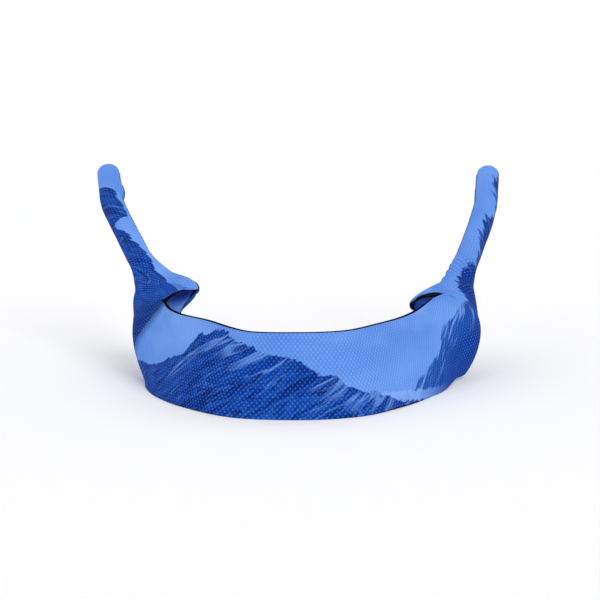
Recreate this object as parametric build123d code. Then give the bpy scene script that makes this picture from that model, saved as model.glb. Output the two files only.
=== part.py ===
from build123d import *
from math import cos, exp, pi, radians, sin, sqrt
import os

# Eyewear retainer strap: one die-cut sheet of fabric-faced neoprene foam, worn in a U.
# The middle is a single open layer that leans inward at the top. Past it each end
# widens into two ears, which fold inward, butt edge to edge and are sewn into a round
# sleeve that grips a temple arm. Millimetres, +Z up, +Y towards the sleeve entries,
# origin under the centre of the whole strap, band resting on its lower edge.

# Laminate
FOAM = 1.40                  # black foam core
SKIN = 0.28                  # knit face or knit lining
BOND_LINE = 0.02             # clearance that stands for the glue between layers
LAYERS = {
    "foam_core": (-FOAM / 2, FOAM / 2),
    "outer_fabric": (FOAM / 2 + BOND_LINE, FOAM / 2 + BOND_LINE + SKIN),
    "lining_fabric": (-FOAM / 2 - BOND_LINE - SKIN, -FOAM / 2 - BOND_LINE),
}
FACE = FOAM / 2 + BOND_LINE + SKIN   # from the mid-surface to the printed face

# Sleeves
SLEEVE_GIRTH = 19.8          # mid-surface girth of the round sleeve
SLEEVE_RADIUS = SLEEVE_GIRTH / (2 * pi)
SLIT = 0.30                  # space between the two butted cut edges
ROUTE_RADIUS = 45.0          # bends of the sleeve's centre line
FIRST_RUN = 22.0             # length of the first run of the sleeve's centre line

# Folding of the ears
FOLD_SHARPNESS = 0.12        # share of the half width taken by each tight fold
LOWER_EAR_LEAD = 0.35        # the lower ear curls before the upper one

# Joints
BEND_GAP = 0.62              # each side of a wing bend
NECK_GAP = 1.25              # each side of a sleeve neck

# Stitching
THREAD = 0.24                # thickness of a stitch line lying on the printed face
THREAD_LIFT = 0.05
STITCH_HALF_WIDTH = 1.5
BARTACK = 0.55               # thickness of the bar tack that locks the seam's start
BARTACK_SLICES = 3

# Spacing of the cross-sections
BAND_STEP = 3.0
WING_STEP = 1.6

# The whole strap is moved so that its origin is under the centre of its box.
CENTRE_X = -0.69
CENTRE_Y = 82.44

# Midline of each half, from the centre of the band to the neck of the sleeve.
# Distances are from the centre of the band; x grows towards that half's own side.
# Columns: x, y, z, girth, closing (0 open, 1 edges meet), roundness of the fold
# (0 flat, 1 round), inward lean of the sheet in degrees.
LEFT_MIDLINE = [
    (0.0, 4.2, 12.1, 26.4, 0.00, 1.00, 18),
    (17.0, 6.9, 12.1, 26.4, 0.00, 1.00, 18),
    (32.2, 22.3, 13.0, 27.5, 0.00, 1.00, 18.3),
    (41.6, 39.0, 12.5, 27.6, 0.00, 1.00, 17),
    (48.7, 57.2, 13.3, 27.8, 0.10, 0.80, 13.9),
    (54.5, 69.3, 15.4, 30.3, 0.35, 0.70, 8.6),
    (54.9, 77.4, 19.6, 34.4, 0.66, 0.61, -4.5),
    (55.5, 83.3, 23.3, 39.9, 0.87, 0.43, -6.3),
    (55.2, 87.5, 26.0, 47.0, 1.00, 0.19, -4.4),
    (56.1, 94.4, 29.7, 33.2, 1.00, 0.43, 3.3),
    (57.9, 101.4, 34.0, 22.4, 1.00, 0.95, 0.3),
    (60.1, 107.5, 36.7, SLEEVE_GIRTH, 1.00, 1.00, 0),
]
RIGHT_MIDLINE = [
    (0.0, 4.2, 12.1, 26.4, 0.00, 1.00, 18),
    (15.5, 8.6, 12.1, 26.4, 0.00, 1.00, 18),
    (27.1, 21.4, 12.5, 26.3, 0.00, 1.00, 19.5),
    (39.6, 43.0, 12.5, 27.3, 0.00, 1.00, 18.2),
    (49.6, 59.8, 15.2, 28.0, 0.15, 0.80, 17.6),
    (59.1, 72.7, 16.9, 33.8, 0.39, 0.70, 14.9),
    (59.2, 80.8, 18.9, 39.5, 0.63, 0.57, 5.7),
    (59.2, 86.6, 22.1, 44.5, 0.84, 0.34, 5.7),
    (58.9, 90.3, 24.9, 48.2, 1.00, 0.08, 12),
    (59.0, 97.2, 27.1, 28.6, 1.00, 0.47, 10),
    (60.5, 103.2, 32.8, 21.8, 1.00, 0.95, 1.7),
    (62.0, 108.0, 35.2, SLEEVE_GIRTH, 1.00, 1.00, 0),
]
BEND_STATION = 3
MOUTH_STATION = 8
# The last two points of each sleeve's centre line; the run between them is straight
# and is the socket that a temple arm enters.
LEFT_SOCKET = [(69.4, 143.6, 51.6), (72.5, 163.8, 61.2)]
RIGHT_SOCKET = [(68.6, 143.6, 51.1), (71.1, 163.8, 60.6)]


def interpolate(rows, s):
    """Row values and their rate of change at chord length s, on a smooth cubic."""
    spots = [0.0]
    for a, b in zip(rows, rows[1:]):
        spots.append(spots[-1] + (Vector(*b[:3]) - Vector(*a[:3])).length)
    chords = []
    for i in range(len(rows) - 1):
        step = spots[i + 1] - spots[i]
        chords.append([(q - p) / step for p, q in zip(rows[i], rows[i + 1])])
    slopes = [[chords[0][0]] + [0.0] * (len(rows[0]) - 1)]
    for i in range(1, len(rows) - 1):
        before = spots[i] - spots[i - 1]
        after = spots[i + 1] - spots[i]
        slopes.append([(p * after + q * before) / (before + after)
                       for p, q in zip(chords[i - 1], chords[i])])
    slopes.append(chords[-1])
    i = max(k for k in range(len(rows) - 1) if k == 0 or spots[k] <= s)
    step = spots[i + 1] - spots[i]
    t = (s - spots[i]) / step
    weights = (2 * t**3 - 3 * t**2 + 1, (t**3 - 2 * t**2 + t) * step,
               3 * t**2 - 2 * t**3, (t**3 - t**2) * step)
    rates = ((6 * t**2 - 6 * t) / step, 3 * t**2 - 4 * t + 1,
             (6 * t - 6 * t**2) / step, 3 * t**2 - 2 * t)
    ends = list(zip(rows[i], slopes[i], rows[i + 1], slopes[i + 1]))
    values = [sum(w * e for w, e in zip(weights, column)) for column in ends]
    slope = [sum(r * e for r, e in zip(rates, column)) for column in ends]
    return values, slope


def station_length(rows, index):
    """Chord length from the centre of the band to a station."""
    points = [Vector(*row[:3]) for row in rows[:index + 1]]
    return sum((b - a).length for a, b in zip(points, points[1:]))


class Slice:
    """The strap's cross-section plane at one place along one half."""

    def __init__(self, rows, side, s):
        values, slope = interpolate(rows, s)
        along = Vector(*slope[:3]).normalized()
        level = Vector(0, 0, 1).cross(along).normalized()
        upright = along.cross(level)
        lean = radians(values[6])
        self.side = side
        self.length = s
        self.midline = Vector(*values[:3])
        self.along = along
        self.inward = level * cos(lean) - upright * sin(lean)
        self.across = upright * cos(lean) + level * sin(lean)
        self.half_width = values[3] / 2
        self.closing = min(max(values[4], 0.0), 1.0)
        self.roundness = min(max(values[5], 0.0), 1.0)

    def place(self, depth, height):
        """A point of the section, in the strap's own frame."""
        return to_frame(self.midline + self.inward * depth + self.across * height, self.side)

    def ear(self, closing, offset, shares):
        """Points (depth, height) of one ear at shares of its half width, moved outward."""
        steps = 240
        found = {}
        depth = 0.0
        height = 0.0
        for k in range(steps + 1):
            found[k] = (depth, height)
            angle = fold_angle((k + 0.5) / steps, closing, self.roundness)
            depth += sin(angle) * self.half_width / steps
            height += cos(angle) * self.half_width / steps
        points = []
        for share in shares:
            angle = fold_angle(share, closing, self.roundness)
            k = min(int(share * steps), steps - 1)
            rest = share * steps - k
            depth = found[k][0] * (1 - rest) + found[k + 1][0] * rest
            height = found[k][1] * (1 - rest) + found[k + 1][1] * rest
            points.append((depth - offset * cos(angle), height + offset * sin(angle)))
        return points

    def profile(self, offset):
        """The section's curve from the lower cut edge to the upper one."""
        end = 1 - SLIT / 2 / self.half_width
        count = 9
        shares = [end * (1 - cos(pi * k / count)) / 2 for k in range(1, count + 1)]
        lower_closing = self.closing * (1 + LOWER_EAR_LEAD * (1 - self.closing))
        lower = [(d, -h) for d, h in self.ear(lower_closing, offset, shares)]
        upper = self.ear(self.closing, offset, shares)
        return lower[::-1] + [(-offset, 0.0)] + upper

    def seam_profile(self, offset, half_width):
        """A short curve that crosses the seam where the two cut edges meet."""
        start = 1 - half_width / self.half_width
        shares = [start + (1 - start) * k / 4 for k in range(5)]
        upper = self.ear(1.0, offset, shares)
        lower = [(d, -h) for d, h in upper[:-1]]
        return upper + lower[::-1]

    def wire(self, inner, outer):
        """Closed outline between two curves of the section."""
        outer = [self.place(*p) for p in outer]
        inner = [self.place(*p) for p in inner]
        return Wire([Spline(outer), Line(outer[-1], inner[-1]),
                     Spline(inner[::-1]), Line(inner[0], outer[0])])


def fold_angle(share, closing, roundness):
    """Turn of the sheet from upright at a share of the half width."""
    folds = (1 - exp(-share / FOLD_SHARPNESS) + exp((share - 1) / FOLD_SHARPNESS)) / 2
    return pi * closing * (roundness * share + (1 - roundness) * folds)


def to_frame(point, side):
    """From distances about the band's centre to the strap's own frame."""
    return Vector(side * point.X - CENTRE_X, point.Y - CENTRE_Y, point.Z)


def spread(start, end, spacing):
    """Evenly spaced lengths from start to end, no further apart than spacing."""
    count = max(2, int((end - start) / spacing) + 1)
    return [start + (end - start) * k / count for k in range(count + 1)]


def above_table(solid):
    """Trim everything under the plane that the band rests on."""
    table = Pos(0, 0, -50) * Box(400, 400, 100)
    return (solid - table).solids()[0]


def sheet_between(slices, layer):
    """One laminate layer lofted through cross-sections."""
    inner, outer = LAYERS[layer]
    wires = [cut.wire(cut.profile(inner), cut.profile(outer)) for cut in slices]
    return Solid.make_loft(wires, ruled=True)


def seam_strip(slices, low, high):
    """A line of stitching lofted along a seam."""
    wires = [cut.wire(cut.seam_profile(low, STITCH_HALF_WIDTH),
                      cut.seam_profile(high, STITCH_HALF_WIDTH)) for cut in slices]
    return Solid.make_loft(wires, ruled=True)


def band_slices():
    """Sections of the band, from its left bend to its right bend."""
    left_end = station_length(LEFT_MIDLINE, BEND_STATION) - BEND_GAP
    right_end = station_length(RIGHT_MIDLINE, BEND_STATION) - BEND_GAP
    left = [Slice(LEFT_MIDLINE, -1, s) for s in spread(0.0, left_end, BAND_STEP)]
    right = [Slice(RIGHT_MIDLINE, 1, s) for s in spread(0.0, right_end, BAND_STEP)]
    return left[::-1] + right[1:]


def sleeve_route(rows, side, socket):
    """Centre line of a round sleeve, from its neck to its open end."""
    neck = Slice(rows, side, station_length(rows, len(rows) - 1))
    start = neck.midline + neck.inward * SLEEVE_RADIUS
    points = [start + neck.along * NECK_GAP, start + neck.along * FIRST_RUN]
    points += [Vector(*p) for p in socket]
    return FilletPolyline([to_frame(p, side) for p in points], radius=ROUTE_RADIUS), neck


def tube_section(neck, start, inner, outer, first, last):
    """Part of a ring across the sleeve's start; angles are from the seam, in degrees."""
    seam = neck.place(1, 0) - neck.place(0, 0)
    rise = neck.place(0, 1) - neck.place(0, 0)

    def spot(radius, degrees):
        turn = radians(degrees)
        return start + seam * (radius * cos(turn)) + rise * (radius * sin(turn))

    middle = (first + last) / 2
    return Face(Wire([
        ThreePointArc(spot(outer, first), spot(outer, middle), spot(outer, last)),
        Line(spot(outer, last), spot(inner, last)),
        ThreePointArc(spot(inner, last), spot(inner, middle), spot(inner, first)),
        Line(spot(inner, first), spot(outer, first)),
    ]))


def build_half(name, rows, side, socket):
    """Every piece of one wing and one sleeve, by node name."""
    bend = station_length(rows, BEND_STATION)
    mouth = station_length(rows, MOUTH_STATION)
    neck_length = station_length(rows, len(rows) - 1)
    wing = [Slice(rows, side, s)
            for s in spread(bend + BEND_GAP, neck_length - NECK_GAP, WING_STEP)]
    route, neck = sleeve_route(rows, side, socket)
    pieces = {}
    for layer, (inner, outer) in LAYERS.items():
        pieces[f"{name}_wing_{layer}"] = above_table(sheet_between(wing, layer))
        slit_angle = SLIT / 2 / SLEEVE_RADIUS * 180 / pi
        ring = tube_section(neck, route @ 0, SLEEVE_RADIUS + inner, SLEEVE_RADIUS + outer,
                            slit_angle, 360 - slit_angle)
        pieces[f"{name}_sleeve_{layer}"] = sweep(ring, path=route).solids()[0]
    low = FACE + THREAD_LIFT
    sewn = [cut for cut in wing if cut.length > mouth]
    pieces[f"{name}_mouth_bartack"] = seam_strip(sewn[:BARTACK_SLICES], low, low + BARTACK)
    pieces[f"{name}_mouth_seam_thread"] = seam_strip(sewn[BARTACK_SLICES:], low, low + THREAD)
    half_angle = STITCH_HALF_WIDTH / (SLEEVE_RADIUS + low) * 180 / pi
    strip = tube_section(neck, route @ 0, SLEEVE_RADIUS + low, SLEEVE_RADIUS + low + THREAD,
                         -half_angle, half_angle)
    pieces[f"{name}_sleeve_seam_thread"] = sweep(strip, path=route).solids()[0]
    return pieces


def report(name, rows, side, socket):
    """Print the places that joints and mounts use."""
    hinge = Slice(rows, side, station_length(rows, BEND_STATION))
    route, neck = sleeve_route(rows, side, socket)
    print(name, "bend", hinge.place(0, 0), "axis", hinge.place(0, 1) - hinge.place(0, 0))
    print(name, "neck", neck.place(SLEEVE_RADIUS, 0), "axis", neck.place(1, 0) - neck.place(0, 0),
          "along", neck.side, neck.along)
    print(name, "entry", route @ 1, "out of the mouth", route % 1,
          "straight", route.edges()[-1].length, "route", route.length)


def main():
    os.makedirs("parts", exist_ok=True)
    pieces = {}
    for layer in LAYERS:
        pieces[f"band_{layer}"] = above_table(sheet_between(band_slices(), layer))
    for name, rows, side, socket in (("left", LEFT_MIDLINE, -1, LEFT_SOCKET),
                                     ("right", RIGHT_MIDLINE, 1, RIGHT_SOCKET)):
        pieces.update(build_half(name, rows, side, socket))
        report(name, rows, side, socket)
    for name, solid in pieces.items():
        solid.label = name
        export_step(solid, f"parts/{name}.step")
    box = Compound(list(pieces.values())).bounding_box()
    print("box", box.min, box.max)


main()
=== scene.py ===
from math import cos, pi, radians, sin, tan

import bpy
import numpy as np
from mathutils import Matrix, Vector


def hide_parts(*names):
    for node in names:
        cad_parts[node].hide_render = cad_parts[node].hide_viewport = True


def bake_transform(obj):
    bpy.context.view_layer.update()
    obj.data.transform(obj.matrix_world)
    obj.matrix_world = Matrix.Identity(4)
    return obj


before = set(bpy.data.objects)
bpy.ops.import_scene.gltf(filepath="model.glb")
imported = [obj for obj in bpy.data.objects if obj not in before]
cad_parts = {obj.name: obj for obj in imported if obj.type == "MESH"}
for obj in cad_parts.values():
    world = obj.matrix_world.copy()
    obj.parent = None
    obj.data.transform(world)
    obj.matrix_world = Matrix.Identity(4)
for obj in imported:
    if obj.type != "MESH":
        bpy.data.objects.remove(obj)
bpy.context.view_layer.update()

# Looks of an eyewear retainer strap: a printed knit skin and a plain knit lining on a
# black foam core, sewn into two sleeves. Shapes are worked out in millimetres with the
# same numbers as the CAD part, and the meshes are made in metres.

MM = 0.001

# ---------------------------------------------------------------- shape numbers

FOAM = 1.40
SKIN = 0.28
BOND_LINE = 0.02
FACE = FOAM / 2 + BOND_LINE + SKIN
SLEEVE_GIRTH = 19.8
SLEEVE_RADIUS = SLEEVE_GIRTH / (2 * pi)
SLIT = 0.30
ROUTE_RADIUS = 45.0
FIRST_RUN = 22.0
NECK_GAP = 1.25
FOLD_SHARPNESS = 0.12
LOWER_EAR_LEAD = 0.35
CENTRE_X = -0.69
CENTRE_Y = 82.44

# Columns: x, y, z, girth, closing, roundness, lean in degrees.
LEFT_MIDLINE = [
    (0.0, 4.2, 12.1, 26.4, 0.00, 1.00, 18),
    (17.0, 6.9, 12.1, 26.4, 0.00, 1.00, 18),
    (32.2, 22.3, 13.0, 27.5, 0.00, 1.00, 18.3),
    (41.6, 39.0, 12.5, 27.6, 0.00, 1.00, 17),
    (48.7, 57.2, 13.3, 27.8, 0.10, 0.80, 13.9),
    (54.5, 69.3, 15.4, 30.3, 0.35, 0.70, 8.6),
    (54.9, 77.4, 19.6, 34.4, 0.66, 0.61, -4.5),
    (55.5, 83.3, 23.3, 39.9, 0.87, 0.43, -6.3),
    (55.2, 87.5, 26.0, 47.0, 1.00, 0.19, -4.4),
    (56.1, 94.4, 29.7, 33.2, 1.00, 0.43, 3.3),
    (57.9, 101.4, 34.0, 22.4, 1.00, 0.95, 0.3),
    (60.1, 107.5, 36.7, SLEEVE_GIRTH, 1.00, 1.00, 0),
]
RIGHT_MIDLINE = [
    (0.0, 4.2, 12.1, 26.4, 0.00, 1.00, 18),
    (15.5, 8.6, 12.1, 26.4, 0.00, 1.00, 18),
    (27.1, 21.4, 12.5, 26.3, 0.00, 1.00, 19.5),
    (39.6, 43.0, 12.5, 27.3, 0.00, 1.00, 18.2),
    (49.6, 59.8, 15.2, 28.0, 0.15, 0.80, 17.6),
    (59.1, 72.7, 16.9, 33.8, 0.39, 0.70, 14.9),
    (59.2, 80.8, 18.9, 39.5, 0.63, 0.57, 5.7),
    (59.2, 86.6, 22.1, 44.5, 0.84, 0.34, 5.7),
    (58.9, 90.3, 24.9, 48.2, 1.00, 0.08, 12),
    (59.0, 97.2, 27.1, 28.6, 1.00, 0.47, 10),
    (60.5, 103.2, 32.8, 21.8, 1.00, 0.95, 1.7),
    (62.0, 108.0, 35.2, SLEEVE_GIRTH, 1.00, 1.00, 0),
]
BEND_STATION = 3
MOUTH_STATION = 8
LEFT_SOCKET = [(69.4, 143.6, 51.6), (72.5, 163.8, 61.2)]
RIGHT_SOCKET = [(68.6, 143.6, 51.1), (71.1, 163.8, 60.6)]

# How far each side of a hinge the sheet takes to bend, in millimetres.
BEND_REACH = 12.0
NECK_REACH = 7.0

ROW_STEP = 0.8               # spacing of the sections along the strap
ACROSS = 88                  # cells across the sheet's girth
CROWDING = 0.45              # how far those cells crowd towards the two cut edges, 0 to 1
EAR_STEPS = 480              # steps in which an ear's curve is added up
ARC_STEPS = 12               # chords in each bend of the sleeve's centre line
SPLIT_PAST_BEND = 6.0        # where the front part ends, past the wing bend's reach
WELD = 0.0005                # points nearer than this are one, in millimetres

# Cut edges
RIM_PROFILE = [-0.5, -0.25, 0.0, 0.25, 0.5]   # places across the sheet's thickness
RIM_SWELL = 0.50             # how far the foam bulges out of a cut edge
RIM_TILT = 1.2               # how far the bulge's normals turn at its two corners
SEAM_CROWDING = 0.8          # share of the bulge lost where two cut edges meet
SKIVED_SHARE = 0.88          # share of the thickness lost where the edge is pressed thin

# The texture square
U_SPAN = 440.0               # millimetres of strap length across it
V_SPAN = 60.0                # millimetres of girth across it

# Face groups of a shell: the edges between them stay crisp
OUTER_FACE, INNER_FACE, RIM, CAP = range(4)

# Stitching
STITCH_PITCH = 1.25
STITCH_REACH = 1.35          # how far a stitch reaches to each side of the seam
STITCH_STEPS = 8             # points along each stitch
THREAD_RADIUS = 0.15
THREAD_SIDES = 6
BARTACK_LENGTH = 3.2
BARTACK_TURNS = 16
BARTACK_THICKENING = 1.15
BARTACK_MARGIN = 0.4         # bare length on each side of the bar tack
SEAM_CLEARANCE = 0.03        # how far a thread stands clear of the knit over the seam
BARTACK_CLEARANCE = 0.12
SEAM_END_MARGIN = 1.2        # bare length between the last stitch and the open end


# The studio floor and wall, in metres
FLOOR_REACH = 14.0           # to the front and to both sides
CURVE_START = 2.0            # how far behind the object the floor starts to curve up
CURVE_RADIUS = 1.2
CURVE_STEPS = 12
WALL_TOP = 4.5
FLOOR_GAP = 0.05             # how far the floor lies below the strap, in millimetres

# The photo's camera
CAMERA_Y = -549.6            # in front of the strap's foremost point, in millimetres
CAMERA_Z = 113.1
CAMERA_DOWN = 8.0            # how far it looks down, in degrees
CAMERA_LENS = 113.2
CAMERA_SENSOR = 36.0


# ---------------------------------------------------------------- numpy helpers

def unit(a):
    return a / np.linalg.norm(a, axis=-1, keepdims=True)


def smooth(x, low, high):
    """0 below low, 1 above high, and smooth between."""
    t = np.clip((x - low) / (high - low), 0, 1)
    return t * t * (3 - 2 * t)


def bump(x, centre, width):
    return np.exp(-((x - centre) / width) ** 2)


def chord_spots(rows):
    steps = np.linalg.norm(np.diff(rows[:, :3], axis=0), axis=1)
    return np.concatenate([[0.0], np.cumsum(steps)])


def interpolate(rows, spots, s):
    """Row values and their rates of change at lengths s, on a smooth cubic."""
    gaps = np.diff(spots)
    chords = np.diff(rows, axis=0) / gaps[:, None]
    slopes = np.zeros_like(rows)
    slopes[0, 0] = chords[0, 0]
    slopes[-1] = chords[-1]
    for i in range(1, len(rows) - 1):
        before, after = gaps[i - 1], gaps[i]
        slopes[i] = (chords[i - 1] * after + chords[i] * before) / (before + after)
    i = np.clip(np.searchsorted(spots, s, side="right") - 1, 0, len(rows) - 2)
    step = gaps[i][:, None]
    t = ((s - spots[i]) / gaps[i])[:, None]
    values = ((2 * t**3 - 3 * t**2 + 1) * rows[i] + (t**3 - 2 * t**2 + t) * step * slopes[i]
              + (3 * t**2 - 2 * t**3) * rows[i + 1] + (t**3 - t**2) * step * slopes[i + 1])
    rates = ((6 * t**2 - 6 * t) / step * rows[i] + (3 * t**2 - 4 * t + 1) * slopes[i]
             + (6 * t - 6 * t**2) / step * rows[i + 1] + (3 * t**2 - 2 * t) * slopes[i + 1])
    return values, rates


def filleted_route(points, radius, step):
    """Points along straight runs joined by tangent arcs, evenly spaced."""
    line = [points[0]]
    for a, b, c in zip(points, points[1:], points[2:]):
        back = unit(a - b)
        ahead = unit(c - b)
        turn = np.arccos(np.clip(-back @ ahead, -1, 1))
        trim = radius * tan(turn / 2)
        centre = b + unit(back + ahead) * radius / cos(turn / 2)
        start = b + back * trim - centre
        side = unit(-back)
        for k in range(ARC_STEPS + 1):
            angle = turn * k / ARC_STEPS
            line.append(centre + start * cos(angle) + side * radius * sin(angle))
    line.append(points[-1])
    line = np.array(line)
    run = np.concatenate([[0], np.cumsum(np.linalg.norm(np.diff(line, axis=0), axis=1))])
    at = np.linspace(0, run[-1], int(run[-1] / step) + 1)
    return np.stack([np.interp(at, run, line[:, k]) for k in range(3)], axis=1), at


class Half:
    """Every section of one half of the strap, from its centre to its open end."""

    def __init__(self, name, rows, side, socket):
        self.name = name
        self.side = side
        rows = np.array(rows, float)
        spots = chord_spots(rows)
        self.neck = spots[-1]
        self.mouth = spots[MOUTH_STATION]
        self.bend = spots[BEND_STATION]
        s = np.linspace(0, self.neck, int(self.neck / ROW_STEP) + 1)
        values, rates = interpolate(rows, spots, s)
        along = unit(rates[:, :3])
        level = unit(np.cross([0, 0, 1], along))
        upright = np.cross(along, level)
        lean = np.radians(values[:, 6])[:, None]
        inward = level * np.cos(lean) - upright * np.sin(lean)
        across = upright * np.cos(lean) + level * np.sin(lean)

        # the sleeve carries the neck's section along its route without twist
        start = values[-1, :3] + inward[-1] * SLEEVE_RADIUS
        points = [start, start + along[-1] * (NECK_GAP + FIRST_RUN)]
        route, at = filleted_route(points + [np.array(p) for p in socket], ROUTE_RADIUS, ROW_STEP)
        tangent = unit(np.gradient(route, axis=0))
        in_now = inward[-1]
        carried = []
        for t in tangent:
            in_now = unit(in_now - t * (in_now @ t))
            carried.append(in_now)
        carried = np.array(carried)
        count = len(route) - 1
        self.s = np.concatenate([s, self.neck + at[1:]])
        self.middle = np.concatenate([values[:, :3], (route - carried * SLEEVE_RADIUS)[1:]])
        self.along = np.concatenate([along, tangent[1:]])
        self.inward = np.concatenate([inward, carried[1:]])
        self.across = np.concatenate([across, np.cross(tangent, carried)[1:]])
        self.half_width = np.concatenate([values[:, 3] / 2, np.full(count, SLEEVE_GIRTH / 2)])
        self.closing = np.clip(np.concatenate([values[:, 4], np.ones(count)]), 0, 1)
        self.roundness = np.clip(np.concatenate([values[:, 5], np.ones(count)]), 0, 1)
        self.end = self.s[-1]
        self.lower_closing = self.closing * (1 + LOWER_EAR_LEAD * (1 - self.closing))

    def ear(self, closing, shares):
        """Depth, height and angle of one ear at shares of its half width: (rows, shares)."""
        grid = np.arange(EAR_STEPS) / EAR_STEPS + 0.5 / EAR_STEPS
        angle = self.angle(grid[None, :], closing)
        step = self.half_width[:, None] / EAR_STEPS
        zero = np.zeros((len(self.s), 1))
        depth = np.concatenate([zero, np.cumsum(np.sin(angle) * step, axis=1)], axis=1)
        height = np.concatenate([zero, np.cumsum(np.cos(angle) * step, axis=1)], axis=1)
        at = np.clip(shares * EAR_STEPS, 0, EAR_STEPS)
        k = np.minimum(at.astype(int), EAR_STEPS - 1)
        rest = at - k
        rows = np.arange(len(self.s))[:, None]
        found = (depth[rows, k] * (1 - rest) + depth[rows, k + 1] * rest,
                 height[rows, k] * (1 - rest) + height[rows, k + 1] * rest)
        return found + (self.angle(shares, closing),)

    def angle(self, share, closing):
        folds = (1 - np.exp(-share / FOLD_SHARPNESS) + np.exp((share - 1) / FOLD_SHARPNESS)) / 2
        r = self.roundness[:, None]
        return pi * closing[:, None] * (r * share + (1 - r) * folds)

    def surface(self, shares):
        """Mid-surface points and outward normals, in the row frame, for shares -1 to 1."""
        size = (len(self.s), len(shares))
        share = np.broadcast_to(np.abs(shares), size)
        end = (1 - SLIT / 2 / self.half_width)[:, None]
        share = share * end
        up = self.ear(self.closing, share)
        low = self.ear(self.lower_closing, share)
        is_up = np.broadcast_to(shares >= 0, size)
        depth = np.where(is_up, up[0], low[0])
        height = np.where(is_up, up[1], -low[1])
        angle = np.where(is_up, up[2], -low[2])
        points = (self.middle[:, None] + self.inward[:, None] * depth[..., None]
                  + self.across[:, None] * height[..., None])
        normals = (-self.inward[:, None] * np.cos(angle)[..., None]
                   + self.across[:, None] * np.sin(angle)[..., None])
        across_mm = np.sign(shares)[None, :] * share * self.half_width[:, None]
        return self.to_frame(points), self.turn(normals), across_mm

    def to_frame(self, points):
        return self.turn(points) - np.array([CENTRE_X, CENTRE_Y, 0])

    def turn(self, vectors):
        return vectors * np.array([self.side, 1, 1])


def wrinkle(half, across_mm):
    """How far the cloth stands out of its smooth shape, in millimetres, at every point."""
    s = half.s[:, None] - half.neck
    v = across_mm
    girth = half.half_width[:, None] * 2
    around = v / girth * 2 * pi
    out = np.zeros_like(v)
    phase = 1.3 if half.side < 0 else 0.4
    # soft creases round the sleeve, where it turns and where a temple arm stretches it
    sleeve = smooth(s, -2, 10) * smooth(-s, -60, -50)
    drift = np.sin(s * 0.11 + phase) + 0.6 * np.sin(s * 0.047 - 2 * phase)
    out += 0.040 * sleeve * np.sin(s * 0.31 + 0.9 * np.sin(around + phase) + 2 * drift)
    out += 0.022 * sleeve * np.sin(s * 0.77 - 1.6 * np.cos(around - phase) + 3 * drift)
    # gathers that run along the sleeve near its open end
    gather = smooth(s, 34, 50) * smooth(-s, -64, -58)
    out += 0.060 * gather * np.sin(5 * around + 0.12 * s + phase)
    # the left seam puckers a little way in from the open end
    if half.side < 0:
        seam_side = smooth(np.abs(v) / half.half_width[:, None], 0.50, 0.95)
        out += 0.95 * bump(s, 47.5, 4.5) * seam_side
    # pull lines from the seam into the wing's folded pocket
    pocket = bump(s, -14, 9) * smooth(girth, 22, 34)
    out += 0.10 * pocket * np.sin(v * 0.42 + s * 0.30 + phase)
    # a slight wave of the open band, none at its middle where the halves meet
    band = smooth(half.s, 2, 20) * (1 - smooth(half.s, half.bend + 5, half.bend + 30))
    out += 0.05 * band[:, None] * np.sin(half.s[:, None] * 0.17 + v * 0.07 + phase)
    return out


def skive(half, across_mm):
    """Thickness of the sheet as a share: its lower cut edge is pressed thin at the pocket."""
    from_edge = half.half_width[:, None] + across_mm
    near_mouth = smooth(half.s, half.mouth - 26, half.mouth - 14) * (
        1 - smooth(half.s, half.mouth - 3, half.mouth + 1))
    return 1 - SKIVED_SHARE * near_mouth[:, None] * (1 - smooth(from_edge, 0.3, 3.2))


# ---------------------------------------------------------------- mesh building

def mark_sharp(mesh, groups):
    """Edges between faces of different groups stay crisp."""
    edge = np.zeros(len(mesh.loops), np.int32)
    mesh.loops.foreach_get("edge_index", edge)
    total = np.zeros(len(mesh.polygons), np.int32)
    mesh.polygons.foreach_get("loop_total", total)
    group = np.repeat(groups, total)
    low = np.full(len(mesh.edges), CAP)
    high = np.full(len(mesh.edges), OUTER_FACE)
    np.minimum.at(low, edge, group)
    np.maximum.at(high, edge, group)
    sharp = mesh.attributes.get("sharp_edge")
    if sharp is None:
        sharp = mesh.attributes.new("sharp_edge", "BOOLEAN", "EDGE")
    sharp.data.foreach_set("value", low != high)


def mesh_object(name, points, faces, uvs=None, normals=None, groups=None):
    """A mesh in metres. Points that lie together become one, but keep their own normals."""
    points = np.asarray(points, float)
    whole = np.round(points / WELD).astype(np.int64)
    _, first, place = np.unique(whole, axis=0, return_index=True, return_inverse=True)
    place = place.ravel()
    kept = []
    kept_groups = []
    for k, face in enumerate(faces):
        ring = [place[i] for i in face]
        if len(set(ring)) == len(ring):
            kept.append(face)
            kept_groups.append(groups[k] if groups is not None else 0)
    mesh = bpy.data.meshes.new(name)
    mesh.from_pydata((points[first] * MM).tolist(), [], [[int(place[i]) for i in f] for f in kept])
    corners = np.concatenate([np.asarray(f) for f in kept])
    if uvs is not None:
        layer = mesh.uv_layers.new(name="UVMap")
        layer.data.foreach_set("uv", np.asarray(uvs, np.float32)[corners].ravel())
    mesh.polygons.foreach_set("use_smooth", [True] * len(mesh.polygons))
    mark_sharp(mesh, np.array(kept_groups))
    if normals is not None:
        mesh.normals_split_custom_set(np.asarray(normals, float)[corners].tolist())
    mesh.update()
    obj = bpy.data.objects.new(name, mesh)
    bpy.context.scene.collection.objects.link(obj)
    return obj


def grid_faces(rows, columns, first=0, flip=False):
    faces = []
    for i in range(rows - 1):
        for j in range(columns - 1):
            a = first + i * columns + j
            quad = (a, a + 1, a + columns + 1, a + columns)
            faces.append(quad[::-1] if flip else quad)
    return faces


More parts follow.
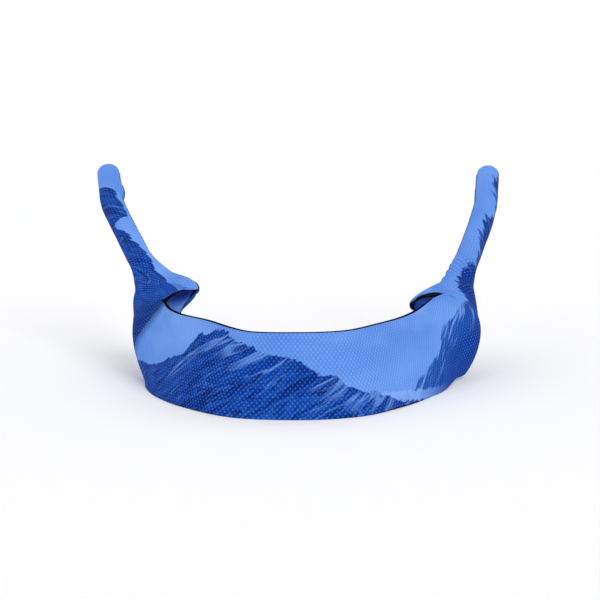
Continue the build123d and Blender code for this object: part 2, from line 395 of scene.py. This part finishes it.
def cut_edges(half, rows, near, far, swell):
    """Points and normals of the two cut edges, which bulge out by up to swell."""
    points, normals, _ = [grid[rows] for grid in half.grid]
    thin = half.thin[rows]
    sideways = unit(np.gradient(points, axis=1))
    room = 1 - SEAM_CROWDING * smooth(half.s[rows], half.mouth - 10, half.mouth - 2)
    edge_points = []
    edge_normals = []
    for j, sign in ((0, -1), (-1, 1)):
        outward = sideways[:, j] * sign
        for p in RIM_PROFILE:
            bulge = swell * cos(p * pi) * (room * thin[:, j])[:, None]
            edge_points.append(near[:, j] * (0.5 - p) + far[:, j] * (0.5 + p) + outward * bulge)
            edge_normals.append(unit(outward + normals[:, j] * (p * RIM_TILT * (swell > 0))))
    return edge_points, edge_normals


def shell_faces(count, columns, flip):
    """Faces and face groups of a layer, for vertices in the order that shell() gives."""
    faces = grid_faces(count, columns, 0, flip)
    groups = [OUTER_FACE] * len(faces)
    faces += grid_faces(count, columns, count * columns, not flip)
    groups += [INNER_FACE] * (len(faces) - len(groups))
    first = 2 * count * columns
    for far_edge in (False, True):
        for p in range(len(RIM_PROFILE) - 1):
            for low in range(first + p * count, first + (p + 1) * count - 1):
                quad = (low, low + count, low + count + 1, low + 1)
                faces.append(quad if far_edge ^ flip else quad[::-1])
        first += len(RIM_PROFILE) * count
    groups += [RIM] * (len(faces) - len(groups))
    for far_end in (False, True):
        for low in range(first, first + columns - 1):
            quad = (low, low + 1, low + columns + 1, low + columns)
            faces.append(quad if far_end ^ flip else quad[::-1])
        first += 2 * columns
    groups += [CAP] * (len(faces) - len(groups))
    return faces, groups


def shell(name, half, rows, inner, outer, swell=0.0):
    """A closed layer of the sheet between two offsets from its mid-surface.

    Its vertices are those of the outer face, the inner face, the two cut edges and two caps.
    """
    points, normals, across = [grid[rows] for grid in half.grid]
    lift, thin, s = half.lift[rows], half.thin[rows], half.s[rows]
    count, columns = across.shape
    far = points + normals * (outer * thin + lift)[..., None]
    near = points + normals * (inner * thin + lift)[..., None]
    u = np.broadcast_to((half.side * s)[:, None], across.shape)
    uv = np.stack([u / U_SPAN + 0.5, across / V_SPAN + 0.5], axis=-1)

    edge_points, edge_normals = cut_edges(half, rows, near, far, swell)
    vertices = [far.reshape(-1, 3), near.reshape(-1, 3)] + edge_points
    facing = [surface_normals(half, outer)[rows].reshape(-1, 3),
              -surface_normals(half, inner)[rows].reshape(-1, 3)] + edge_normals
    uvs = [uv.reshape(-1, 2)] * 2
    for j in (0, -1):
        uvs += [uv[:, j]] * len(RIM_PROFILE)
    for i, sign in ((0, -1), (-1, 1)):
        vertices += [near[i], far[i]]
        facing.append(np.tile(half.turn(half.along[rows][i]) * sign, (2 * columns, 1)))
        uvs += [uv[i], uv[i]]
    vertices = np.concatenate(vertices)
    vertices[:, 2] = np.maximum(vertices[:, 2], 0)
    faces, groups = shell_faces(count, columns, half.side > 0)
    return mesh_object(name, vertices, faces, np.concatenate(uvs), np.concatenate(facing), groups)


def surface_normals(half, offset):
    """Normals of a face at an offset, worked out on the whole half so splits don't show."""
    points, normals, _ = half.grid
    face = points + normals * (offset * half.thin + half.lift)[..., None]
    along = np.gradient(face, axis=0)
    along[0] = [half.side, 0, 0]
    found = unit(np.cross(along, np.gradient(face, axis=1)))
    return found * np.sign(np.sum(found * normals, axis=-1, keepdims=True))


def tube(points, radius):
    """Vertices and faces of a round strand along points."""
    points = np.asarray(points, float)
    tangent = unit(np.gradient(points, axis=0))
    side = unit(np.cross(tangent[0], [0.31, 0.52, 0.79]))
    vertices = []
    for p, t in zip(points, tangent):
        side = unit(side - t * (side @ t))
        other = np.cross(t, side)
        for k in range(THREAD_SIDES):
            a = 2 * pi * k / THREAD_SIDES
            vertices.append(p + radius * (side * cos(a) + other * sin(a)))
    faces = []
    for i in range(len(points) - 1):
        for k in range(THREAD_SIDES):
            a = i * THREAD_SIDES + k
            b = i * THREAD_SIDES + (k + 1) % THREAD_SIDES
            faces.append((a, b, b + THREAD_SIDES, a + THREAD_SIDES))
    faces.append(tuple(range(THREAD_SIDES))[::-1])
    last = (len(points) - 1) * THREAD_SIDES
    faces.append(tuple(range(last, last + THREAD_SIDES)))
    return np.array(vertices), faces


def face_point(half, s, offset_across, lift):
    """A point on the printed face near the seam: offset_across is signed, 0 on the seam."""
    i = np.clip(np.searchsorted(half.s, s) - 1, 0, len(half.s) - 2)
    t = (s - half.s[i]) / (half.s[i + 1] - half.s[i])
    found = []
    for row in (i, i + 1):
        points, normals, across = half.grid[0][row], half.grid[1][row], half.grid[2][row]
        outer = points + normals * (FACE + half.lift[row])[:, None]
        reach = abs(offset_across)
        target = across[-1] - reach if offset_across >= 0 else across[0] + reach
        spot = [np.interp(target, across, outer[:, k]) for k in range(3)]
        out = [np.interp(target, across, normals[:, k]) for k in range(3)]
        found.append(np.array(spot) + unit(np.array(out)) * lift)
    return found[0] * (1 - t) + found[1] * t


def seam_path(half, corners, lift_over):
    """Points along a zigzag between corners (s, offset), lifted as it crosses the seam."""
    path = []
    for (s0, o0), (s1, o1) in zip(corners, corners[1:]):
        for k in range(STITCH_STEPS):
            t = k / STITCH_STEPS
            lift = lift_over * (0.35 + 0.65 * sin(pi * t))
            path.append(face_point(half, s0 + (s1 - s0) * t, o0 + (o1 - o0) * t, lift))
    path.append(face_point(half, *corners[-1], lift_over * 0.35))
    return path


# ---------------------------------------------------------------- materials

class Nodes:
    """A short way to write a material's nodes."""

    def __init__(self, name):
        self.material = bpy.data.materials.new(name)
        self.material.use_nodes = True
        self.tree = self.material.node_tree
        self.tree.nodes.clear()
        self.out = self.tree.nodes.new("ShaderNodeOutputMaterial")
        self.shader = self.tree.nodes.new("ShaderNodeBsdfPrincipled")
        self.tree.links.new(self.shader.outputs["BSDF"], self.out.inputs["Surface"])

    def node(self, kind, **values):
        n = self.tree.nodes.new(kind)
        for key, value in values.items():
            setattr(n, key, value)
        return n

    def link(self, value, socket):
        if isinstance(value, bpy.types.NodeSocket):
            self.tree.links.new(value, socket)
        else:
            socket.default_value = value

    def math(self, operation, a, b=0.0):
        n = self.node("ShaderNodeMath", operation=operation)
        self.link(a, n.inputs[0])
        self.link(b, n.inputs[1])
        return n.outputs[0]

    def add(self, *values):
        total = values[0]
        for v in values[1:]:
            total = self.math("ADD", total, v)
        return total

    def times(self, a, b):
        return self.math("MULTIPLY", a, b)

    def minus(self, a, b):
        return self.math("SUBTRACT", a, b)

    def step(self, value, low, high, out_low=0.0, out_high=1.0):
        n = self.node("ShaderNodeMapRange", interpolation_type="SMOOTHSTEP")
        self.link(value, n.inputs["Value"])
        n.inputs["From Min"].default_value = low
        n.inputs["From Max"].default_value = high
        n.inputs["To Min"].default_value = out_low
        n.inputs["To Max"].default_value = out_high
        return n.outputs["Result"]

    def ramp(self, value, stops, mode="LINEAR"):
        n = self.node("ShaderNodeValToRGB")
        n.color_ramp.interpolation = mode
        while len(n.color_ramp.elements) < len(stops):
            n.color_ramp.elements.new(0.5)
        for element, (at, colour) in zip(n.color_ramp.elements, stops):
            element.position = at
            level = colour if isinstance(colour, tuple) else (colour,) * 3
            element.color = level + (1.0,)
        self.link(value, n.inputs["Fac"])
        return n.outputs["Color"]

    def mix(self, share, a, b):
        n = self.node("ShaderNodeMix", data_type="RGBA")
        self.link(share, n.inputs[0])
        self.link(a if not isinstance(a, tuple) else a + (1.0,), n.inputs[6])
        self.link(b if not isinstance(b, tuple) else b + (1.0,), n.inputs[7])
        return n.outputs[2]

    def vector(self, x, y, z=0.0):
        n = self.node("ShaderNodeCombineXYZ")
        self.link(x, n.inputs[0])
        self.link(y, n.inputs[1])
        self.link(z, n.inputs[2])
        return n.outputs[0]

    def noise(self, vector, scale=1.0, detail=4.0, rough=0.55, distortion=0.0):
        n = self.node("ShaderNodeTexNoise")
        self.link(vector, n.inputs["Vector"])
        n.inputs["Scale"].default_value = scale
        n.inputs["Detail"].default_value = detail
        n.inputs["Roughness"].default_value = rough
        n.inputs["Distortion"].default_value = distortion
        return n.outputs["Fac"]

    def cells(self, vector, scale=1.0):
        n = self.node("ShaderNodeTexVoronoi")
        self.link(vector, n.inputs["Vector"])
        n.inputs["Scale"].default_value = scale
        return n.outputs["Distance"]

    def strap_millimetres(self):
        """The place on the flat strap, in millimetres: along it and across it."""
        uv = self.node("ShaderNodeUVMap", uv_map="UVMap")
        parts = self.node("ShaderNodeSeparateXYZ")
        self.link(uv.outputs["UV"], parts.inputs[0])
        u = self.times(self.minus(parts.outputs[0], 0.5), U_SPAN)
        v = self.times(self.minus(parts.outputs[1], 0.5), V_SPAN)
        return u, v

    def knit(self, u, v, wale, course):
        """Staggered loops of a knit: 1 on a loop's head, 0 between loops."""
        a = self.math("COSINE", self.times(u, 2 * pi / wale))
        b = self.math("COSINE", self.times(v, pi / course))
        return self.times(a, b)

    def bumps(self, *layers):
        """Bump nodes in a row: (height, strength, distance in metres)."""
        normal = None
        for height, strength, distance in layers:
            n = self.node("ShaderNodeBump")
            n.inputs["Strength"].default_value = strength
            n.inputs["Distance"].default_value = distance
            self.link(height, n.inputs["Height"])
            if normal is not None:
                self.link(normal, n.inputs["Normal"])
            normal = n.outputs["Normal"]
        self.link(normal, self.shader.inputs["Normal"])

    def set(self, **values):
        for key, value in values.items():
            name = key.replace("_", " ")
            if isinstance(value, tuple):
                value = value + (1.0,)
            self.link(value, self.shader.inputs[name])


def rgb(code):
    """Linear colour of an sRGB hex code."""
    parts = [int(code[i:i + 2], 16) / 255 for i in (0, 2, 4)]
    return tuple(p / 12.92 if p <= 0.04045 else ((p + 0.055) / 1.055) ** 2.4 for p in parts)


SKY = rgb("6497EC")
SKY_DEEP = rgb("5186DE")
HAZE = rgb("78A6F3")
PALE = rgb("86AEF4")
MID = rgb("1C56B6")
SLOPE = rgb("0740A2")
RIDGE = rgb("023088")
NAVY = rgb("011A60")
STROKE = rgb("79A5F0")       # feathered strokes on the far hill
SNOW = rgb("6C99E8")         # snow on the near hills
SKY_LOOP_HIGHLIGHT = rgb("C2DAFF")     # painted highlight on the heads of the knit's loops on the sky
HILL_LOOP_HIGHLIGHT = rgb("86B2FB")    # and on the hills

SLANT = radians(32)          # slope of the printed streaks
PIVOT_LEVEL = 0.73           # height at which the left hill's slanted edge keeps its place
SLOPE_STREAKS = [
    (0.30, NAVY), (0.385, RIDGE), (0.425, MID), (0.437, RIDGE), (0.470, SLOPE), (0.492, MID),
    (0.500, NAVY), (0.530, RIDGE), (0.555, SLOPE), (0.572, rgb("3E75D2")), (0.580, RIDGE),
    (0.640, SLOPE), (0.700, MID),
]

# Crests of the printed hills over the strap's length, from its left end to its right
# end, as shares of the girth's span: (place, height). All made up.
NEAR_CREST = [
    (0.040, 0.47), (0.098, 0.50), (0.106, 0.60), (0.150, 0.61), (0.168, 0.52),
    (0.190, 0.57), (0.235, 0.62), (0.262, 0.80), (0.318, 0.86), (0.324, 0.36),
    (0.350, 0.40), (0.372, 0.43), (0.395, 0.52), (0.415, 0.66), (0.432, 0.70),
    (0.458, 0.66), (0.490, 0.60), (0.520, 0.50), (0.545, 0.40), (0.580, 0.31),
    (0.640, 0.22),
]
FAR_CREST = [
    (0.500, 0.30), (0.560, 0.32), (0.590, 0.35), (0.620, 0.41), (0.645, 0.47),
    (0.670, 0.58), (0.710, 0.65), (0.745, 0.62), (0.775, 0.60), (0.800, 0.52),
    (0.850, 0.56), (0.880, 0.50), (0.920, 0.55), (0.960, 0.50),
]


class HillPrint:
    """The picture printed on the knit, built up from the sky forwards, with painted shade laid over
    the wings.
    """

    def __init__(self, m):
        self.m = m
        self.u, self.v = m.strap_millimetres()
        self.place = m.add(m.times(self.u, 1 / U_SPAN), 0.5)
        self.level = m.add(m.times(self.v, 1 / V_SPAN), 0.5)
        # along and across the streaks that run down the slopes
        self.flow = m.add(m.times(self.u, cos(SLANT)), m.times(self.v, sin(SLANT)))
        self.cross = m.minus(m.times(self.v, cos(SLANT)), m.times(self.u, sin(SLANT)))
        self.streak = self.grain(0.022, 0.16, 1.3, 4, 0.55, 0.5)
        self.fine = self.grain(0.07, 0.85, 5.2, 4, 0.55, 0.3)
        # the edge of the left hill slants down and away from the middle of the strap
        drop = m.minus(PIVOT_LEVEL, self.level)
        slanting = m.times(drop, m.step(self.place, 0.42, 0.34, 0.0, 0.08))
        self.place_left = m.add(self.place, slanting)

    def grain(self, along, across, seed, *shape):
        """Noise drawn out along the slopes."""
        m = self.m
        spot = m.vector(m.times(self.flow, along), m.times(self.cross, across), seed)
        return m.noise(spot, 1.0, *shape)

    def sky(self):
        """A slow gradient and faint haze."""
        m = self.m
        haze = m.noise(m.vector(m.times(self.u, 0.018), m.times(self.v, 0.05)), 1.0, 3)
        colour = m.mix(m.step(haze, 0.35, 0.7), SKY_DEEP, HAZE)
        return m.mix(m.step(self.level, 0.80, 0.40, 0.0, 0.7), colour, SKY)

    def far_hill(self, behind):
        """The hill on the right, with feathered strokes along its crest."""
        m = self.m
        place = self.place
        feather = self.grain(0.05, 0.62, 8.1, 3, 0.5)
        crest = m.add(m.ramp(place, FAR_CREST, "EASE"), m.times(m.minus(feather, 0.5), 0.14))
        depth = m.minus(crest, self.level)
        covers = m.times(m.step(depth, -0.003, 0.010), m.step(place, 0.500, 0.560))
        strokes = m.times(m.step(feather, 0.52, 0.60), m.step(depth, 0.17, 0.05))
        hill = m.mix(m.step(depth, 0.0, 0.22), MID, SLOPE)
        hill = m.mix(m.step(place, 0.68, 0.745), hill, RIDGE)
        hill = m.mix(m.step(self.fine, 0.40, 0.62, 0.0, 0.30), hill, NAVY)
        hill = m.mix(m.times(strokes, m.step(place, 0.745, 0.735, 0.15, 0.75)), hill, STROKE)
        return m.mix(covers, behind, hill), covers

    def pale_slope(self, behind):
        """A snowy slope that runs down to the right, behind the near hills."""
        m = self.m
        place = self.place
        line = m.add(self.level, m.times(place, 0.80), m.times(m.minus(self.fine, 0.5), 0.05), -0.795)
        pale = m.times(m.step(line, -0.060, -0.020), m.step(line, 0.030, 0.020))
        pale = m.times(m.times(pale, m.step(place, 0.660, 0.590)), m.step(place, 0.520, 0.560))
        return m.mix(m.times(pale, 0.8), behind, PALE)

    def near_hills(self, behind):
        """A set crest broken up by rough noise, darkest just under it, with streaked slopes."""
        m = self.m
        place = self.place
        tone = m.add(m.times(self.streak, 0.78), m.times(self.fine, 0.22))
        slope = m.ramp(tone, SLOPE_STREAKS)
        rough = m.noise(m.vector(m.times(self.u, 0.13), m.times(self.v, 0.04), 3.1), 1.0, 6, 0.6)
        ragged = m.step(place, 0.325, 0.335, 0.03, 0.10)
        crest = m.add(m.ramp(self.place_left, NEAR_CREST, "EASE"),
                      m.times(m.minus(rough, 0.5), ragged),
                      m.times(m.minus(self.fine, 0.5), 0.05))
        depth = m.minus(crest, self.level)
        covers = m.times(m.step(depth, -0.003, 0.006), m.step(place, 0.650, 0.600))
        slope = m.mix(m.times(m.step(depth, 0.05, 0.0), 0.55), slope, RIDGE)
        snow = m.times(m.step(self.streak, 0.50, 0.535), m.step(self.streak, 0.585, 0.55))
        snow = m.times(m.times(snow, m.step(depth, 0.17, 0.05)), m.step(place, 0.36, 0.39))
        slope = m.mix(m.times(snow, 0.75), slope, SNOW)
        return m.mix(covers, behind, slope), covers

    def painted_wing_shade(self, behind):
        """A smooth painted shade over each wing: blue to navy on the left, dark blue on the right."""
        m = self.m
        place = self.place
        on_left = m.step(self.place_left, 0.335, 0.320)
        fade = m.step(self.place_left, 0.262, 0.318)
        mottle = m.step(self.fine, 0.35, 0.65, 0.0, 0.35)
        gradient = m.mix(mottle, m.mix(fade, SLOPE, NAVY), MID)
        left = m.times(m.times(m.step(place, 0.245, 0.270), on_left),
                       m.step(self.level, 0.84, 0.74))
        colour = m.mix(m.times(left, 0.80), behind, gradient)
        right = m.times(m.step(place, 0.700, 0.750), m.step(place, 0.800, 0.785))
        return m.mix(m.times(m.times(right, m.step(self.level, 0.60, 0.50)), 0.85), colour, RIDGE)


def printed_knit():
    """Knit printed with a generic range of hills under an open sky."""
    m = Nodes("printed_knit")
    picture = HillPrint(m)
    colour, far = picture.far_hill(picture.sky())
    colour, near = picture.near_hills(picture.pale_slope(colour))
    # painted shade laid over both wings
    colour = picture.painted_wing_shade(colour)

    # the knit itself: staggered loops and fine courses, with a painted highlight on the loop heads
    # that varies a little, and painted shade in the gaps
    u, v = picture.u, picture.v
    loops = m.knit(u, v, 1.40, 0.90)
    fine_loops = m.knit(u, v, 0.46, 0.30)
    heads = m.step(loops, 0.25, 0.85)
    uneven = m.noise(m.vector(m.times(u, 0.9), m.times(v, 0.9), 2.0), 1.0, 3)
    on_hills = m.math("MAXIMUM", near, far)
    # painted highlight on the loop heads
    lit = m.mix(0.55, colour, m.mix(on_hills, SKY_LOOP_HIGHLIGHT, HILL_LOOP_HIGHLIGHT))
    # painted shade in the gaps between the loops and between the fine courses
    gaps = m.step(loops, -0.30, -0.90, 0.0, 0.26)
    colour = m.mix(m.times(heads, m.step(uneven, 0.2, 0.8, 0.24, 0.50)), colour, lit)
    colour = m.mix(gaps, colour, m.mix(0.5, colour, RIDGE))
    colour = m.mix(m.step(fine_loops, 0.3, -0.9, 0.0, 0.22), colour, m.mix(0.6, colour, NAVY))
    m.set(Base_Color=colour, Roughness=m.step(uneven, 0.2, 0.8, 0.66, 0.82), Sheen_Weight=0.02,
          Sheen_Roughness=0.35, Sheen_Tint=rgb("5F90EC"), Specular_IOR_Level=0.03)
    m.bumps((loops, 0.35, 0.00010), (fine_loops, 0.30, 0.00005), (uneven, 0.15, 0.00010))
    return m.material


def lining_knit():
    m = Nodes("lining_knit")
    u, v = m.strap_millimetres()
    wale = m.math("COSINE", m.times(u, 2 * pi / 0.62))
    loops = m.knit(u, v, 0.62, 0.42)
    uneven = m.noise(m.vector(m.times(u, 0.35), m.times(v, 0.35), 4.0), 1.0, 4)
    colour = m.mix(m.step(uneven, 0.3, 0.7), rgb("7CA6EC"), rgb("8EB6F6"))
    # painted shade: darker in the gaps between the loops
    colour = m.mix(m.step(loops, 0.2, -0.9, 0.0, 0.30), colour, rgb("4E7FD4"))
    m.set(Base_Color=colour, Roughness=0.8, Sheen_Weight=0.04, Sheen_Roughness=0.4,
          Sheen_Tint=rgb("7FA8F0"), Specular_IOR_Level=0.12)
    m.bumps((loops, 0.4, 0.00008), (wale, 0.2, 0.00005))
    return m.material


def foam():
    m = Nodes("foam")
    spot = m.node("ShaderNodeTexCoord").outputs["Object"]
    cell = m.cells(spot, 3600.0)
    large = m.cells(spot, 1500.0)
    patch = m.noise(spot, 420.0, 3)
    # painted shade: darker in the hollows of the foam's cells
    colour = m.mix(m.step(cell, 0.15, 0.6), rgb("101216"), rgb("2C2F36"))
    colour = m.mix(m.step(patch, 0.4, 0.7, 0.0, 0.4), colour, rgb("17181C"))
    m.set(Base_Color=colour, Roughness=0.92, Specular_IOR_Level=0.25)
    m.bumps((cell, 0.8, 0.00010), (large, 0.4, 0.00012))
    return m.material


def thread():
    m = Nodes("thread")
    spot = m.node("ShaderNodeTexCoord").outputs["Object"]
    ply = m.node("ShaderNodeTexWave", wave_type="BANDS", bands_direction="DIAGONAL")
    m.link(spot, ply.inputs["Vector"])
    ply.inputs["Scale"].default_value = 900.0
    ply.inputs["Distortion"].default_value = 1.5
    fuzz = m.noise(spot, 2600.0, 2)
    # painted shade: darker in the grooves between the plies
    colour = m.mix(ply.outputs["Fac"], rgb("1D479B"), rgb("3F74CE"))
    colour = m.mix(m.step(fuzz, 0.45, 0.75, 0.0, 0.4), colour, rgb("6F9BE6"))
    m.set(Base_Color=colour, Roughness=0.55, Sheen_Weight=0.2, Specular_IOR_Level=0.4)
    m.bumps((ply.outputs["Fac"], 0.5, 0.00006), (fuzz, 0.3, 0.00004))
    return m.material


MATERIALS = {
    "outer_fabric": ("printed_knit", printed_knit()),
    "lining_fabric": ("lining_knit", lining_knit()),
    "foam_core": ("foam", foam()),
    "thread": ("thread", thread()),
}
# inner face, outer face and bulge of each layer
LAYERS = {
    "foam_core": (-FOAM / 2, FOAM / 2, RIM_SWELL),
    "outer_fabric": (FOAM / 2 + BOND_LINE, FACE, 0.0),
    "lining_fabric": (-FACE, -FOAM / 2 - BOND_LINE, 0.0),
}


# ---------------------------------------------------------------- pieces

def dress(obj, layer):
    slot, material = MATERIALS[layer]
    obj.data.materials.append(material)


def hinge_line(half, s, reach):
    """Start and end points, in metres, of the stretch over which the sheet bends."""
    i = int(np.argmin(np.abs(half.s - s)))
    middle = half.to_frame(half.middle[i])
    if half.closing[i] > 0.99:
        middle = middle + half.turn(half.inward[i]) * SLEEVE_RADIUS
    along = half.turn(half.along[i])
    return (middle - along * reach) * MM, (middle + along * reach) * MM


def build_layers(half, part, rows, a, b):
    """The three layers of one stretch of the strap, between bodies a and b, whose layers it hides."""
    pieces = {}
    for layer, (inner, outer, swell) in LAYERS.items():
        obj = shell(f"{half.name}_{part}_{layer}", half, rows, inner, outer, swell)
        dress(obj, layer)
        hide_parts(f"{a}_{layer}", f"{b}_{layer}")
        pieces[layer] = obj
    for obj in pieces.values():
        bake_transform(obj)


def sew(half, first, length, turns, radius, clearance):
    """A thread that zigzags over the seam, as vertices and faces."""
    corners = [(first + length * k / turns, STITCH_REACH * (1 if k % 2 else -1))
               for k in range(turns + 1)]
    return tube(seam_path(half, corners, THREAD_RADIUS + clearance), radius)


def build_stitching(half):
    """The zigzag seam from the mouth to the open end, and the bar tack that starts it."""
    first = half.mouth + BARTACK_LENGTH + 2 * BARTACK_MARGIN
    length = half.end - SEAM_END_MARGIN - first
    zigzag = sew(half, first, length, int(length / STITCH_PITCH), THREAD_RADIUS, SEAM_CLEARANCE)
    seam = mesh_object(f"{half.name}_seam_thread", *zigzag)
    dress(seam, "thread")
    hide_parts(f"{half.name}_mouth_seam_thread", f"{half.name}_sleeve_seam_thread")
    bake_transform(seam)

    zigzag = sew(half, half.mouth + BARTACK_MARGIN, BARTACK_LENGTH, BARTACK_TURNS,
                 THREAD_RADIUS * BARTACK_THICKENING, BARTACK_CLEARANCE)
    tack = mesh_object(f"{half.name}_bartack", *zigzag)
    dress(tack, "thread")
    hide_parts(f"{half.name}_mouth_bartack")
    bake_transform(tack)


def build_half(name, rows, side, socket):
    half = Half(name, rows, side, socket)
    crowded = np.sin(np.linspace(-pi / 2, pi / 2, ACROSS + 1))
    even = np.linspace(-1, 1, ACROSS + 1)
    half.grid = half.surface(CROWDING * crowded + (1 - CROWDING) * even)
    half.lift = wrinkle(half, half.grid[2])
    half.thin = skive(half, half.grid[2])
    split = int(np.argmin(np.abs(half.s - (half.bend + BEND_REACH + SPLIT_PAST_BEND))))
    wing, sleeve = f"{name}_wing", f"{name}_sleeve"
    bend_line = hinge_line(half, half.bend, BEND_REACH)
    neck_line = hinge_line(half, half.neck, NECK_REACH)
    build_layers(half, "front", slice(0, split + 1), "band", wing)
    build_layers(half, "grip", slice(split, len(half.s)), wing, sleeve)
    build_stitching(half)


build_half("left", LEFT_MIDLINE, -1, LEFT_SOCKET)
build_half("right", RIGHT_MIDLINE, 1, RIGHT_SOCKET)


# ---------------------------------------------------------------- stage, lights, camera

def backdrop():
    """A pale floor that curves up into a wall far behind the object."""
    profile = [(-FLOOR_REACH, 0.0), (CURVE_START, 0.0)]
    for k in range(1, CURVE_STEPS + 1):
        a = pi / 2 * k / CURVE_STEPS
        profile.append((CURVE_START + CURVE_RADIUS * sin(a), CURVE_RADIUS * (1 - cos(a))))
    profile.append((CURVE_START + CURVE_RADIUS, WALL_TOP))
    xs = (-FLOOR_REACH, FLOOR_REACH)
    points = [(x / MM, y / MM, z / MM - FLOOR_GAP) for y, z in profile for x in xs]
    faces = [(2 * i, 2 * i + 1, 2 * i + 3, 2 * i + 2) for i in range(len(profile) - 1)]
    obj = mesh_object("studio_floor", points, faces)
    m = Nodes("studio_paper")
    grain = m.noise(m.node("ShaderNodeTexCoord").outputs["Object"], 1500.0, 2)
    paper = m.mix(m.step(grain, 0.3, 0.7), rgb("F8F8F9"), rgb("FAFAFB"))
    m.set(Base_Color=paper, Roughness=0.9, Specular_IOR_Level=0.1)
    obj.data.materials.append(m.material)


def soft_sun(name, towards, power, spread):
    """A wide soft light that falls evenly on the object, the floor and the wall."""
    data = bpy.data.lights.new(name, "SUN")
    data.energy = power
    data.angle = radians(spread)
    obj = bpy.data.objects.new(name, data)
    obj.rotation_euler = Vector(towards).to_track_quat("-Z", "Y").to_euler()
    bpy.context.scene.collection.objects.link(obj)


backdrop()
soft_sun("key_light", (-0.45, 0.75, -0.80), 1.15, 35)
soft_sun("fill_light", (0.75, 0.50, -0.45), 0.45, 60)
soft_sun("back_light", (-0.20, -0.70, -0.75), 0.35, 50)

world = bpy.data.worlds.new("studio")
world.use_nodes = True
world.node_tree.nodes["Background"].inputs["Color"].default_value = (1, 1, 1, 1)
world.node_tree.nodes["Background"].inputs["Strength"].default_value = 0.62
bpy.context.scene.world = world
bpy.context.scene.view_settings.view_transform = "Standard"

camera_data = bpy.data.cameras.new("camera")
camera_data.lens = CAMERA_LENS
camera_data.sensor_width = CAMERA_SENSOR
camera_data.clip_start = 0.01
camera = bpy.data.objects.new("camera", camera_data)
camera.location = (-CENTRE_X * MM, (CAMERA_Y - CENTRE_Y) * MM, CAMERA_Z * MM)
camera.rotation_euler = (radians(90 - CAMERA_DOWN), 0, 0)
bpy.context.scene.collection.objects.link(camera)
bpy.context.scene.camera = camera
